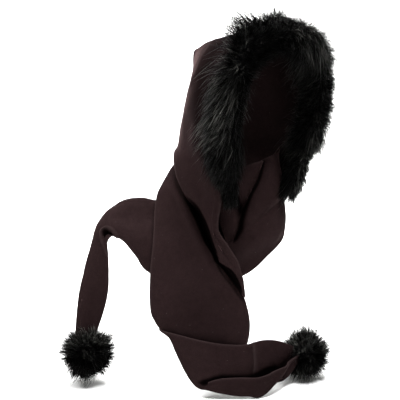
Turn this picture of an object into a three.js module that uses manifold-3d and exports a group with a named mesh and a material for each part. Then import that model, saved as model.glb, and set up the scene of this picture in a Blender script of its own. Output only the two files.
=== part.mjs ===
// A fleece hood with long scarf tails, in millimetres, +Z up, the wearer facing -Y.
// The origin is where the top of the head meets the inside of the crown.
// The hood is one wall of fleece, closed down the back by a seam. Its front edge carries a
// deep fur trim. The right tail hangs in front of the chest, turns over on itself in a slanting
// fold and runs off along the ground as a trough. The left tail crosses under the chin, goes
// over the right shoulder and hangs folded in half. Each tail is gathered into a fur pompom.
import * as THREE from "three";
import { mergeVertices } from "three/addons/utils/BufferGeometryUtils.js";
import Module from "manifold-3d";

const wasm = await Module();
wasm.setup();

// Fleece
const WALL = 2.5;
const CLEAR = 0.4; // left between any two pieces
const SEAM_RADIUS = 3.4;
const SEAM_SIDES = 6;
const HOOD_GRID = { along: 50, across: 9 };
const RIGHT_GRID = { along: 42, across: 7 };
const LEFT_GRID = { along: 42, across: 9 };
const ROW_LENGTH = 34; // about the length of cloth from one row of a table to the next
const CLOTH_WIDTH = 130; // about the width of cloth across a row

// Fur
const TRIM = { from: 5.3, to: 22, stations: 34, sides: 8, deep: 27, thick: 19, taper: 3.5, back: 3 };
const TRIM_LOCKS = { along: 23, around: [-45, 15, 90, 170], length: 16, radius: 13, sink: 6, droop: 0.9 };
const POMPOM_LOCKS = { count: 40, radius: 12.5, sink: 6 };
const FINENESS = 0.25; // details smaller than this are dropped from the fur
const LEFT_POMPOM = { centre: [-231, 136, -517], core: 32, lock: 15 };
const RIGHT_POMPOM = { centre: [66, -78, -527], core: 26, lock: 14 };
const GOLDEN_ANGLE = Math.PI * (3 - Math.sqrt(5));

// The hood's sections, from the tip of its right lap up over the crown and down the left side.
// f is the front edge and k the back edge, roll the way the section bulges in degrees
// (90 to the right, 0 up, -90 to the left), bulge how far, and full how square the bulge is.
const HOOD = [
  { f: [-50, -64, -418], k: [-58, -57, -406], roll: 70, bulge: 1, full: 2 },
  { f: [-54, -57, -385], k: [-70, -42, -382], roll: 75, bulge: 3, full: 2 },
  { f: [-60, -48, -350], k: [-82, -24, -360], roll: 80, bulge: 6, full: 2 },
  { f: [-67, -39, -316], k: [-86, -3, -326], roll: 85, bulge: 8, full: 2 },
  { f: [-70, -35, -288], k: [-87, 12, -296], roll: 90, bulge: 10, full: 2 },
  { f: [-66, -38, -262], k: [-87, 36, -264], roll: 90, bulge: 13, full: 2 },
  { f: [-72, -42, -238], k: [-86, 60, -243], roll: 90, bulge: 16, full: 2 },
  { f: [-82, -46, -210], k: [-80, 82, -220], roll: 90, bulge: 20, full: 2 },
  { f: [-91, -51, -180], k: [-58, 108, -198], roll: 90, bulge: 30, full: 2 },
  { f: [-96, -57, -148], k: [-3, 150, -188], roll: 90, bulge: 46, full: 2.2 },
  { f: [-98, -64, -112], k: [-2, 145, -136], roll: 88, bulge: 42, full: 2.2 },
  { f: [-94, -75, -70], k: [-2, 134, -94], roll: 78, bulge: 36, full: 2.2 },
  { f: [-78, -85, -28], k: [-2, 131, -62], roll: 58, bulge: 30, full: 2.2 },
  { f: [-45, -91, 4], k: [-2, 130, -42], roll: 30, bulge: 20, full: 2.2 },
  { f: [0, -93, 16], k: [0, 131, -32], roll: 0, bulge: 14, full: 2.2 },
  { f: [45, -91, 4], k: [2, 130, -42], roll: -30, bulge: 20, full: 2.2 },
  { f: [78, -85, -28], k: [2, 131, -62], roll: -58, bulge: 30, full: 2.2 },
  { f: [94, -75, -70], k: [2, 134, -94], roll: -78, bulge: 36, full: 2.2 },
  { f: [98, -64, -112], k: [2, 145, -136], roll: -88, bulge: 42, full: 2.2 },
  { f: [94, -57, -150], k: [3, 150, -188], roll: -90, bulge: 44, full: 2.2 },
  { f: [84, -50, -190], k: [40, 120, -222], roll: -90, bulge: 28, full: 2 },
  { f: [72, -45, -226], k: [70, 84, -246], roll: -90, bulge: 20, full: 2 },
  { f: [58, -41, -256], k: [76, 50, -268], roll: -90, bulge: 14, full: 2 },
];
// Where the back edges meet and are sewn together, counted in rows of the table
const SEAM = { from: 9, to: 14, other: 19 };

// The right tail, from under the hood's lap down to its pompom. k is the edge that starts
// at the back, f the edge that starts at the front, bow how far the cloth between them
// stands out of the chord, and sag how far it hangs below it.
const RIGHT_TAIL = [
  { k: [-51, 98.5, -186], f: [-58, 36, -196], bow: 0, sag: 0 },
  { k: [-69, 104.5, -214], f: [-57, 30, -232], bow: 0, sag: 0 },
  { k: [-100, 98, -243], f: [-58, 18, -258], bow: 0, sag: 0 },
  { k: [-118, 92, -269], f: [-58, 4, -288], bow: 3, sag: 0 },
  { k: [-143, 67, -325], f: [-56, -18, -334], bow: 6, sag: 0 },
  { k: [-163, 51, -374], f: [-52, -38, -378], bow: 6, sag: 0 },
  { k: [-174, 37, -430], f: [-49, -57, -422], bow: 8, sag: 0 },
  { k: [-171, 30, -450], f: [-51, -68, -460], bow: 8, sag: 0 },
  { k: [-168, 24, -459], f: [-60, -66, -500], bow: 6, sag: 0 },
  { k: [-166, 19, -462], f: [-74, -50, -540], bow: 2, sag: 0 },
  { k: [-164, 12, -463], f: [-104, -32, -556], bow: 4, sag: 4 },
  { k: [-155, 0, -466], f: [-112, -40, -544], bow: -4, sag: 26 },
  { k: [-132, -28, -474], f: [-104, -62, -535], bow: -6, sag: 40 },
  { k: [-100, -53, -482], f: [-87, -84, -533], bow: -6, sag: 49 },
  { k: [-62, -70, -487], f: [-62, -102, -533], bow: -6, sag: 51 },
  { k: [-26, -74, -486], f: [-28, -103, -531], bow: -4, sag: 52 },
  { k: [6, -76, -493], f: [6, -98, -524], bow: -3, sag: 45 },
  { k: [38, -78, -509], f: [40, -90, -520], bow: 0, sag: 18 },
];

// The left tail, from the left of the neck across the chest and over the right shoulder.
// k is its upper edge and f its lower edge.
const LEFT_TAIL = [
  { k: [87, 12, -190], f: [76, 48, -240], bow: 3, sag: 0 },
  { k: [62, -6.5, -195], f: [62, 1, -302], bow: 9, sag: 0 },
  { k: [54, -10, -200], f: [60, -26, -334], bow: 8, sag: 0 },
  { k: [30, -14, -212], f: [14, -36, -360], bow: 8, sag: 0 },
  { k: [-4, 6, -230], f: [-30, -28, -386], bow: 8, sag: 0 },
  { k: [-46, 42, -256], f: [-92, 8, -404], bow: 8, sag: 0 },
  { k: [-92, 100, -271], f: [-148, 68, -382], bow: 8, sag: 0 },
  { k: [-118, 128, -268], f: [-163, 90, -353], bow: 8, sag: 0 },
  { k: [-140, 146, -272], f: [-175, 106, -330], bow: 10, sag: 0 },
  { k: [-158, 157, -284], f: [-188, 116, -322], bow: 12, sag: 0 },
  { k: [-172, 165, -302], f: [-196, 124, -330], bow: 14, sag: 0 },
  { k: [-180, 166, -328], f: [-199, 130, -352], bow: 18, sag: 0 },
  { k: [-184, 162, -362], f: [-197, 130, -382], bow: 31, sag: 0 },
  { k: [-186, 156, -400], f: [-198, 128, -412], bow: 41, sag: 0 },
  { k: [-194, 153, -440], f: [-204, 128, -446], bow: 42, sag: 0 },
  { k: [-212, 146, -484], f: [-219, 130, -488], bow: 30, sag: 0 },
];

// Folds pressed into the cloth. Each runs from one place to another, given as row and share
// of the way across, and is raised by rise or sunk by a negative rise, over reach either side.
const HOOD_FOLDS = [
  { from: [13.2, 0.8], to: [11, 0.66], rise: 2.5, reach: 20 },
  { from: [9.6, 0.45], to: [6, 0.42], rise: -6, reach: 18 },
  { from: [8.4, 0.78], to: [5.2, 0.82], rise: 5, reach: 16 },
];
const RIGHT_TAIL_FOLDS = [
  { from: [3, 0.3], to: [6, 0.55], rise: 3, reach: 30 },
];
const LEFT_TAIL_FOLDS = [
  { from: [2.9, 0], to: [4.25, 0.58], rise: -13, reach: 13 },
  { from: [2, 0.58], to: [3.9, 0.5], rise: 6, reach: 17 },
  { from: [6.4, 0.3], to: [8.4, 0.5], rise: -4, reach: 22 },
];

// Catmull-Rom blend of one column of a table, at a place counted in rows.
function column(rows, read, place) {
  const last = rows.length - 1;
  const i = Math.min(Math.floor(place), last - 1);
  const t = place - i;
  const [a, b, c, d] = [i - 1, i, i + 1, i + 2].map((n) => read(rows[THREE.MathUtils.clamp(n, 0, last)]));
  const bend = (2 * a - 5 * b + 4 * c - d) * t * t + (3 * b - 3 * c + d - a) * t * t * t;
  return b + 0.5 * ((c - a) * t + bend);
}

function columnPoint(rows, key, place) {
  return new THREE.Vector3(...[0, 1, 2].map((axis) => column(rows, (row) => row[key][axis], place)));
}

// The way the hood bulges at a place.
function hoodOut(place) {
  const roll = THREE.MathUtils.degToRad(column(HOOD, (row) => row.roll, place));
  return new THREE.Vector3(-Math.sin(roll), 0, Math.cos(roll));
}

// A point of the hood: on the chord from front to back edge, pushed out by the bulge.
function hoodPoint(place, across) {
  const front = columnPoint(HOOD, "f", place);
  const back = columnPoint(HOOD, "k", place);
  const bulge = column(HOOD, (row) => row.bulge, place);
  const full = column(HOOD, (row) => row.full, place);
  const rise = 1 - Math.abs(2 * across - 1) ** full;
  return front.lerp(back, across).addScaledVector(hoodOut(place), bulge * rise);
}

// The chord across a tail, from its first edge to its second, at a place.
function chordOf(rows, place) {
  return columnPoint(rows, "f", place).sub(columnPoint(rows, "k", place));
}

// The middle of a tail at a place.
function middleOf(rows, place) {
  const held = THREE.MathUtils.clamp(place, 0, rows.length - 1);
  return columnPoint(rows, "f", held).lerp(columnPoint(rows, "k", held), 0.5);
}

// A point of a tail: a cubic curve from its first edge to its second.
function tailPoint(rows, place, across) {
  const start = columnPoint(rows, "k", place);
  const end = columnPoint(rows, "f", place);
  const chord = chordOf(rows, place);
  const travel = middleOf(rows, place + 0.2).sub(middleOf(rows, place - 0.2));
  const out = travel.cross(chord).normalize();
  const bow = column(rows, (row) => row.bow, place);
  const sag = column(rows, (row) => row.sag, place);
  const handles = [0.25, 0.8].map((share) => {
    const handle = start.clone().addScaledVector(chord, share).addScaledVector(out, (bow * 4) / 3);
    handle.z -= (sag * 4) / 3;
    return handle;
  });
  return new THREE.CubicBezierCurve3(start, handles[0], handles[1], end).getPoint(across);
}

// How far the folds lift the cloth at a place and share of the way across.
function foldRise(folds, place, across) {
  const here = new THREE.Vector2(place * ROW_LENGTH, across * CLOTH_WIDTH);
  return folds.reduce((sum, { from, to, rise, reach }) => {
    const start = new THREE.Vector2(from[0] * ROW_LENGTH, from[1] * CLOTH_WIDTH);
    const way = new THREE.Vector2(to[0] * ROW_LENGTH, to[1] * CLOTH_WIDTH).sub(start);
    const share = THREE.MathUtils.clamp(here.clone().sub(start).dot(way) / way.lengthSq(), 0, 1);
    const off = here.distanceTo(start.addScaledVector(way, share));
    return sum + rise * Math.exp(-((off / reach) ** 2));
  }, 0);
}

function normalOf(grid, i, j) {
  const held = (n, count) => THREE.MathUtils.clamp(n, 0, count - 1);
  const at = (row, n) => grid[held(row, grid.length)][held(n, grid[0].length)];
  const down = at(i + 1, j).clone().sub(at(i - 1, j));
  const over = at(i, j + 1).clone().sub(at(i, j - 1));
  return down.cross(over).normalize();
}

// The middle surface of a piece of cloth as rows of points, with its folds.
function clothGrid(point, rows, folds, { along, across }) {
  const places = Array.from({ length: along + 1 }, (_, i) => ((rows.length - 1) * i) / along);
  const shares = Array.from({ length: across + 1 }, (_, j) => j / across);
  const flat = places.map((place) => shares.map((share) => point(place, share)));
  return flat.map((row, i) =>
    row.map((p, j) => p.clone().addScaledVector(normalOf(flat, i, j), foldRise(folds, places[i], shares[j]))),
  );
}

// The grid with one more point past each end of its rows, and one more row past each end.
function grown(grid, by) {
  const beyond = (from, to) => to.clone().addScaledVector(to.clone().sub(from).normalize(), by);
  const wide = grid.map((row) => [beyond(row[1], row[0]), ...row, beyond(row.at(-2), row.at(-1))]);
  const first = wide[0].map((p, j) => beyond(wide[1][j], p));
  const last = wide.at(-1).map((p, j) => beyond(wide.at(-2)[j], p));
  return [first, ...wide, last];
}

function geometryOf(positions, faces) {
  const geometry = new THREE.BufferGeometry();
  geometry.setAttribute("position", new THREE.Float32BufferAttribute(positions, 3));
  geometry.setIndex(faces);
  return geometry;
}

// The closed wall round a grid of points: both faces offset from it by half the wall.
function wallOf(grid, wall) {
  const m = grid.length;
  const n = grid[0].length;
  const positions = [];
  for (const side of [1, -1])
    for (let i = 0; i < m; i++)
      for (let j = 0; j < n; j++)
        positions.push(...grid[i][j].clone().addScaledVector(normalOf(grid, i, j), (side * wall) / 2));
  const vertex = (side, i, j) => side * m * n + i * n + j;
  const faces = [];
  const quad = (a, b, c, d) => faces.push(a, b, c, a, c, d);
  for (let i = 0; i < m - 1; i++)
    for (let j = 0; j < n - 1; j++) {
      quad(vertex(0, i, j), vertex(0, i + 1, j), vertex(0, i + 1, j + 1), vertex(0, i, j + 1));
      quad(vertex(1, i, j), vertex(1, i, j + 1), vertex(1, i + 1, j + 1), vertex(1, i + 1, j));
    }
  for (let i = 0; i < m - 1; i++) {
    quad(vertex(0, i, 0), vertex(1, i, 0), vertex(1, i + 1, 0), vertex(0, i + 1, 0));
    quad(vertex(0, i, n - 1), vertex(0, i + 1, n - 1), vertex(1, i + 1, n - 1), vertex(1, i, n - 1));
  }
  for (let j = 0; j < n - 1; j++) {
    quad(vertex(0, 0, j), vertex(0, 0, j + 1), vertex(1, 0, j + 1), vertex(1, 0, j));
    quad(vertex(0, m - 1, j), vertex(1, m - 1, j), vertex(1, m - 1, j + 1), vertex(0, m - 1, j + 1));
  }
  return geometryOf(positions, faces);
}

// A closed tube through rings of points, each end closed by a fan.
function tubeOf(rings) {
  const sides = rings[0].length;
  const positions = rings.flat().flatMap((p) => p.toArray());
  const faces = [];
  for (let i = 0; i < rings.length - 1; i++)
    for (let j = 0; j < sides; j++) {
      const a = i * sides + j;
      const b = i * sides + ((j + 1) % sides);
      faces.push(a, b, b + sides, a, b + sides, a + sides);
    }
  const middle = (ring) => ring.reduce((sum, p) => sum.add(p), new THREE.Vector3()).divideScalar(sides);
  const first = rings.length * sides;
  positions.push(...middle(rings[0]), ...middle(rings.at(-1)));
  const lastRing = first - sides;
  for (let j = 0; j < sides; j++) {
    faces.push(first, (j + 1) % sides, j);
    faces.push(first + 1, lastRing + j, lastRing + ((j + 1) % sides));
  }
  return geometryOf(positions, faces);
}

// Geometry to a solid for joining and cutting, and back.
function solidOf(geometry) {
  const bare = geometry.clone();
  bare.deleteAttribute("normal");
  bare.deleteAttribute("uv");
  const merged = mergeVertices(bare, 1e-4);
  const mesh = new wasm.Mesh({
    numProp: 3,
    vertProperties: merged.attributes.position.array,
    triVerts: new Uint32Array(merged.index.array),
  });
  return new wasm.Manifold(mesh);
}

function geometryFrom(solid) {
  const { vertProperties, triVerts } = solid.getMesh();
  return geometryOf(Array.from(vertProperties), Array.from(triVerts));
}

function largestOf(solid) {
  return solid.decompose().reduce((best, piece) => (piece.volume() > best.volume() ? piece : best));
}

// A number from 0 to 1 that looks random but is the same each time.
function scatter(seed) {
  const wave = Math.sin(seed * 12.9898) * 43758.5453;
  return wave - Math.floor(wave);
}

// One lock of fur: a slim pyramid whose foot is sunk into the backing.
function lockOf(root, direction, length, radius, sink) {
  const lock = new THREE.ConeGeometry(radius, length + sink, 3);
  lock.translate(0, (length + sink) / 2 - sink, 0);
  lock.applyQuaternion(new THREE.Quaternion().setFromUnitVectors(new THREE.Vector3(0, 1, 0), direction));
  lock.translate(...root);
  return solidOf(lock);
}

// The trim's frame at a place of the hood: along the edge, out of the cloth and to the front.
function trimFrame(place) {
  const edge = columnPoint(HOOD, "f", place);
  const ahead = columnPoint(HOOD, "f", Math.min(place + 0.1, HOOD.length - 1));
  const behind = columnPoint(HOOD, "f", Math.max(place - 0.1, 0));
  const along = ahead.sub(behind).normalize();
  const inward = hoodPoint(place, 0.12).sub(edge);
  const out = along.clone().cross(inward).normalize();
  const front = out.clone().cross(along).negate().normalize();
  const end = Math.min(place - TRIM.from, TRIM.to - place) / TRIM.taper;
  const size = 0.45 + 0.55 * Math.sqrt(THREE.MathUtils.clamp(end, 0, 1));
  return { edge, along, out, front, size };
}

// A point on the trim's backing, at an angle from the outside of the cloth toward the front.
function trimPoint(frame, degrees) {
  const angle = THREE.MathUtils.degToRad(degrees);
  return frame.edge
    .clone()
    .addScaledVector(frame.front, frame.size * (TRIM.deep * Math.sin(angle) - TRIM.back))
    .addScaledVector(frame.out, frame.size * TRIM.thick * Math.cos(angle));
}

function trimBacking() {
  const rings = Array.from({ length: TRIM.stations + 1 }, (_, i) => {
    const frame = trimFrame(TRIM.from + ((TRIM.to - TRIM.from) * i) / TRIM.stations);
    return Array.from({ length: TRIM.sides }, (_, j) => trimPoint(frame, (360 * j) / TRIM.sides));
  });
  return solidOf(tubeOf(rings));
}

function trimLocks() {
  const { along, around, length, radius, sink, droop } = TRIM_LOCKS;
  return Array.from({ length: along }, (_, i) =>
    around.map((degrees, j) => {
      const seed = i * around.length + j + 1;
      const share = (i + 0.5 + 0.5 * (j % 2) - 0.25) / along;
      const frame = trimFrame(TRIM.from + (TRIM.to - TRIM.from) * share);
      const angle = degrees + 24 * (scatter(seed) - 0.5);
      const root = trimPoint(frame, angle);
      const turn = THREE.MathUtils.degToRad(angle);
      const way = frame.front.clone().multiplyScalar(Math.sin(turn));
      way.addScaledVector(frame.out, Math.cos(turn));
      way.addScaledVector(frame.along, droop * (scatter(seed + 0.5) - 0.5)).normalize();
      const long = length * frame.size * (0.75 + 0.5 * scatter(seed + 0.25));
      return lockOf(root, way, long, radius * (0.6 + 0.4 * frame.size), sink * frame.size);
    }),
  ).flat();
}

function pompomOf({ centre, core, lock }) {
  const { count, radius, sink } = POMPOM_LOCKS;
  const ball = solidOf(new THREE.IcosahedronGeometry(core, 1).translate(...centre));
  const locks = Array.from({ length: count }, (_, i) => {
    const height = 1 - (2 * (i + 0.5)) / count;
    const level = Math.sqrt(1 - height * height);
    const turn = i * GOLDEN_ANGLE;
    const way = new THREE.Vector3(level * Math.cos(turn), level * Math.sin(turn), height);
    const root = new THREE.Vector3(...centre).addScaledVector(way, core);
    return lockOf(root, way, lock * (0.8 + 0.25 * scatter(i + 1)), radius, sink);
  });
  return wasm.Manifold.union([ball, ...locks]);
}

// The seam that closes the hood down the back, a small raised cord.
function seamCord() {
  const steps = 10;
  const rings = Array.from({ length: steps + 1 }, (_, i) => {
    const place = SEAM.from + ((SEAM.to - SEAM.from) * i) / steps;
    const mirrored = SEAM.other - ((SEAM.other - SEAM.to) * i) / steps;
    const middle = columnPoint(HOOD, "k", place).lerp(columnPoint(HOOD, "k", mirrored), 0.5);
    return Array.from({ length: SEAM_SIDES }, (_, j) => {
      const angle = (2 * Math.PI * j) / SEAM_SIDES;
      const round = new THREE.Vector3(Math.cos(angle), Math.sin(angle), 0).multiplyScalar(SEAM_RADIUS);
      return middle.clone().add(round);
    });
  });
  return solidOf(tubeOf(rings));
}

// Materials
const fleece = new THREE.MeshStandardMaterial({ color: 0x33272a, roughness: 0.95, metalness: 0 });
const fur = new THREE.MeshStandardMaterial({ color: 0x0c0c0b, roughness: 0.7, metalness: 0 });

const scarf = new THREE.Group();

function addPiece(name, solid, material) {
  const mesh = new THREE.Mesh(geometryFrom(solid), material);
  mesh.name = name;
  scarf.add(mesh);
}

const rightTailPoint = (place, share) => tailPoint(RIGHT_TAIL, place, share);
const leftTailPoint = (place, share) => tailPoint(LEFT_TAIL, place, share);
const hoodGrid = clothGrid(hoodPoint, HOOD, HOOD_FOLDS, HOOD_GRID);
const rightGrid = clothGrid(rightTailPoint, RIGHT_TAIL, RIGHT_TAIL_FOLDS, RIGHT_GRID);
const leftGrid = clothGrid(leftTailPoint, LEFT_TAIL, LEFT_TAIL_FOLDS, LEFT_GRID);
const slotOf = (grid) => solidOf(wallOf(grown(grid, CLEAR), WALL + 2 * CLEAR));
const slots = [hoodGrid, rightGrid, leftGrid].map(slotOf);
const cut = (solid) => largestOf(slots.reduce((rest, slot) => rest.subtract(slot), solid)).simplify(FINENESS);

addPiece("hood_shell", solidOf(wallOf(hoodGrid, WALL)).add(seamCord()).simplify(0.05), fleece);
addPiece("right_tail", solidOf(wallOf(rightGrid, WALL)), fleece);
addPiece("left_tail", solidOf(wallOf(leftGrid, WALL)), fleece);
addPiece("fur_trim", cut(wasm.Manifold.union([trimBacking(), ...trimLocks()])), fur);
addPiece("left_pompom", cut(pompomOf(LEFT_POMPOM)), fur);
addPiece("right_pompom", cut(pompomOf(RIGHT_POMPOM)), fur);

export default scarf;
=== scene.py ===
"""Dresses the fleece hood with scarf tails: napped fleece, hems and folds, deep fur trim and pompoms."""

import math

import bmesh
import bpy
import numpy as np
from mathutils import Matrix, Vector, kdtree, noise

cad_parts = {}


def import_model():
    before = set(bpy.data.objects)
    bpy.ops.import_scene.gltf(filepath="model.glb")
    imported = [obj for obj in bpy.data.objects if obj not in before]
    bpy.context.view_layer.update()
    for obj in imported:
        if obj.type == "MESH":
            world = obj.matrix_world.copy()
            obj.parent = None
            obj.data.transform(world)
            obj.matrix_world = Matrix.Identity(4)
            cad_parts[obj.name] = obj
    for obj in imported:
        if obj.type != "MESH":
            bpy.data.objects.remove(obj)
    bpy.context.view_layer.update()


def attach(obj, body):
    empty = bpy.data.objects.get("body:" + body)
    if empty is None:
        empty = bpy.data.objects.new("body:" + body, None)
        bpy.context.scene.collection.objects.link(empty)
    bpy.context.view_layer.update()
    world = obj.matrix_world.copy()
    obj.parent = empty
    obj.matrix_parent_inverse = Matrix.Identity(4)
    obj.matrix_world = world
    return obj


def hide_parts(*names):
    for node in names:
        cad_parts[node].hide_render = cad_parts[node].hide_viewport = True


# Sizes are in millimetres and become metres when a mesh is made
METRE = 0.001
WELD = 0.01  # points of one mesh that lie closer than this become one

# Camera, with its angles in degrees
CAMERA_AIM = (-107, -9, -251)
CAMERA_AZIMUTH = -40
CAMERA_ELEVATION = 12
CAMERA_DISTANCE = 2200
CAMERA_LENS = 123.75
SENSOR_WIDTH = 36

# Floor, and the wall that it curves up into
FLOOR_HEIGHT = -571.5
FLOOR_REACH = 30000
WALL_START = 2400
WALL_BEND = 800
WALL_STEPS = 14
WALL_HEIGHT = 3200
WALL_AIM = (1500, 2300, 100)

# Lights: azimuth and elevation in degrees, distance and size in metres, power in watts
WORLD_STRENGTH = 0.2
LIGHTS = [
    dict(name="key_light", azimuth=-18, elevation=63, distance=2.2, size=0.8, power=98),
    dict(name="side_light", azimuth=-106, elevation=50, distance=2.4, size=0.9, power=62),
    dict(name="top_light", azimuth=140, elevation=65, distance=2.3, size=1.2, power=44),
    dict(name="wall_light", azimuth=-40, elevation=60, distance=3.0, size=2.4, power=260, aim=WALL_AIM),
]

# Fleece
THICKNESS = 2.4
HEM_WIDTH = 9
HEM_RISE = 0.35
HEM_STEEPNESS = 1.5
STITCH_SINK = 0.45
STITCH_REACH = 0.9
# Painted highlight along the cloth's edges: how strong, and how far in it reaches
EDGE_HIGHLIGHT = 0.45
EDGE_HIGHLIGHT_REACH = 2.2
EDGE_STEPS = (0, 0.2, 0.7, 1.5, 3, 5.5, 7.8, 8.5, 9, 9.5, 10.2, 13)
EDGE_SHARE = 0.45  # the most of a length that the steps at one edge take
EDGE_ROUND = 1.3
ROW_LENGTH = 34
CLOTH_WIDTH = 130
CURVE_LENGTH = 1.1  # how long the cloth is across, of the straight line between its edges
LEAST_WIDTH = 4
ROLLING = ((70, 2.6), (26, 0.9))  # size and height of the cloth's slow and quick waves
SHEEN = 0.085
SHEEN_TINT = (0.7, 0.42, 0.42, 1)
FLEECE_GLOSS = 0.02
FLEECE_DARK = (0.0082, 0.0045, 0.0046)
FLEECE_LIGHT = (0.0104, 0.0058, 0.0059)
LINT_COLOUR = (0.1, 0.08, 0.08, 1)
# Pale colour of the painted highlight along the edges and fold ridges
PAINTED_HIGHLIGHT_COLOUR = (0.075, 0.055, 0.055, 1)
# Near-black colour of the painted shade in creases, gaps and beside the fur trim
PAINTED_SHADE_COLOUR = (0.0008, 0.0005, 0.0005, 1)
# Steps along and across each cloth, between its edges
HOOD_STEPS = (210, 46)
RIGHT_TAIL_STEPS = (180, 46)
LEFT_TAIL_STEPS = (200, 62)
# Pleats that run into the pompoms
RIGHT_TAIL_PLEATS = dict(from_place=15.2, to_place=17, count=4, height=1.5)
LEFT_TAIL_PLEATS = dict(from_place=12.6, to_place=15, count=4, height=1.6)
SEAM_RADIUS = 3.1
SEAM_SIDES = 16
SEAM_POINTS = 120

# Fur
TRIM = dict(start=5.3, stop=22, deep=23, thick=15.5, back=3)
# How far the trim goes at rows of the hood, of its full size: out of the cloth, to the front and inside
TRIM_SIZES = [
    dict(row=5.3, out=0.2, front=0.2, inside=0.2),
    dict(row=6, out=0.25, front=0.3, inside=0.25),
    dict(row=7, out=0.38, front=0.46, inside=0.4),
    dict(row=8, out=0.74, front=0.7, inside=0.62),
    dict(row=9, out=0.88, front=0.72, inside=0.62),
    dict(row=10, out=1.04, front=0.65, inside=0.55),
    dict(row=11, out=1.35, front=0.58, inside=0.5),
    dict(row=12, out=1.5, front=0.62, inside=0.5),
    dict(row=12.6, out=2.15, front=0.7, inside=0.6),
    dict(row=13.3, out=1.3, front=0.8, inside=0.75),
    dict(row=14, out=1.0, front=0.85, inside=0.8),
    dict(row=15, out=0.74, front=0.75, inside=0.85),
    dict(row=16, out=0.62, front=0.62, inside=0.85),
    dict(row=17, out=0.66, front=0.62, inside=0.85),
    dict(row=18, out=0.72, front=0.66, inside=0.9),
    dict(row=19, out=0.48, front=0.5, inside=0.9),
    dict(row=20, out=0.34, front=0.36, inside=0.7),
    dict(row=21, out=0.4, front=0.38, inside=0.5),
    dict(row=22, out=0.3, front=0.28, inside=0.3),
]
# The trim's fur comes as three pieces, each with its first and last row and its seed
TRIM_PIECES = (
    dict(name="trim_fur_1", start=5.3, stop=10.8, seed=11),
    dict(name="trim_fur_2", start=10.8, stop=17.0, seed=12),
    dict(name="trim_fur_3", start=17.0, stop=22, seed=13),
)
TRIM_STRANDS = 17000
TRIM_ANGLES = (-72, 248)  # where strands grow round the roll, from 0 outside the hood to 90 in front
TRIM_ENDS = 1.6  # the rows over which the strands turn towards the trim's ends
TRIM_HAIR = dict(
    length=33,
    longest=52,
    spread=(0.65, 1.08),
    uneven=0.35,
    lift=1.0,
    tilt=0.22,
    flow=0.55,
    drift=0.7,
    stray=0.2,
    ending=0.9,
)
# Strands part at this angle round the roll, give or take the sway, and calm is for the crest
TRIM_SWEEP = dict(angle=82, sway=70, spread=40, calm=0.6)
# Size and shift of the waves that the strands follow
SWAY = dict(size=48)
DRIFT = dict(size=40, shift=(7, 3, 1))
BACKING_ROWS = 180
BACKING_SIDES = 28
# Where the trim's strands stand up at the crown's right, and where the left side has longer ones
CREST_ROW = 12.6
CREST_SPREAD = 1.2
LEFT_SIDE_ROW = 14.5
LEFT_SIDE_LONGER = 1.25
# How far strands sag, and how much more on the right side
SAG = 0.45
RIGHT_SIDE_ROW = 11.5
RIGHT_SIDE_SAG = 0.3
# Painted light and shade on the strands, by their angle round the roll and by row
OUTSIDE_LIGHT = dict(least=0.28, more=0.92, angle=12, spread=52)
OUTSIDE_LIGHT_ROWS = ((7.8, 8.8, 9.8, 10.8), (0.1, 0.3, 0.85, 1.1))
INSIDE_LIGHT = dict(angle=110, right=0.2, left=0.45)
CREST_SHADE = dict(row=12.8, spread=0.9, depth=0.72)
RIM_LIGHT = dict(angle=80, spread=42)
RIM_LIGHT_ROWS = ((12.4, 13, 14.6, 17), (0, 0.4, 1.4, 1.1))

LEFT_POMPOM = dict(
    centre=(-231, 136, -517),
    core=20,
    length=22.8,
    seed=21,
    light=1.0,
    lobe=(0.766, -0.55, 0.333),
    longer=0.35,
)
RIGHT_POMPOM = dict(
    centre=(66, -78, -527),
    core=17,
    length=24,
    seed=22,
    light=1.5,
    lobe=(0.0, 0.0, 1.0),
    longer=0.1,
)
POMPOM_STRANDS = 11000
POMPOM_HAIR = dict(spread=(0.7, 1.1), lift=1.7, sway=0.55, droop=0.07, stray=0.1)
POMPOM_SWAY = dict(scale=1.7, shift=9)
# Painted light on the pompoms: strands lighter the more they point up, scaled by each pompom's light
POMPOM_LIGHT = dict(least=0.35, more=1.0)
LOBE_SHARPNESS = 8
CORE_COVER = 0.6
CORE_LUMPS = dict(scale=130, height=1.6)

# Strands: tuft is how many share a tuft, and gather how far they draw together
TRIM_LOCKS = dict(width=0.68, gather=0.72, tuft=8)
POMPOM_LOCKS = dict(width=0.65, gather=0.65, tuft=7)
TUFT_SPREAD = 0.9  # how much the tufts differ in length
WIDTHS = (0.6, 0.8)  # the least width of a strand, and how much more it can be
TIP_LEAN = 0.55
TIP_STRAY = 0.035
GATHER_LEAST = 0.5
CURL = 0.05
BEND = 0.45
FLOW_POWER = 1.6  # the larger the power, the nearer to the tip the strand turns
PULL_POWER = 1.3
GUARD_HAIR = dict(share=0.2, longer=1.38, thicker=1.1, gather=0.2, tone=0.85)
STRAND_TAPER = (1.0, 0.75)
FLOOR_CLEARANCE = 0.8
FUR_TOP = 76
TUFT_TONE = 0.34
STRAND_TONE = 0.6
# The lighter tips are painted glints
TONE_ALONG = (0.06, 0.55, 1.6)  # how light a strand is at its root, its middle and its tip
# Fur colour by tone, from near black to the grey of strands that carry painted light and glints
FUR_COLOURS = (
    (0.0, (0.0002, 0.0002, 0.0002)),
    (0.3, (0.0009, 0.0009, 0.0008)),
    (1.0, (0.085, 0.085, 0.078)),
)

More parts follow.
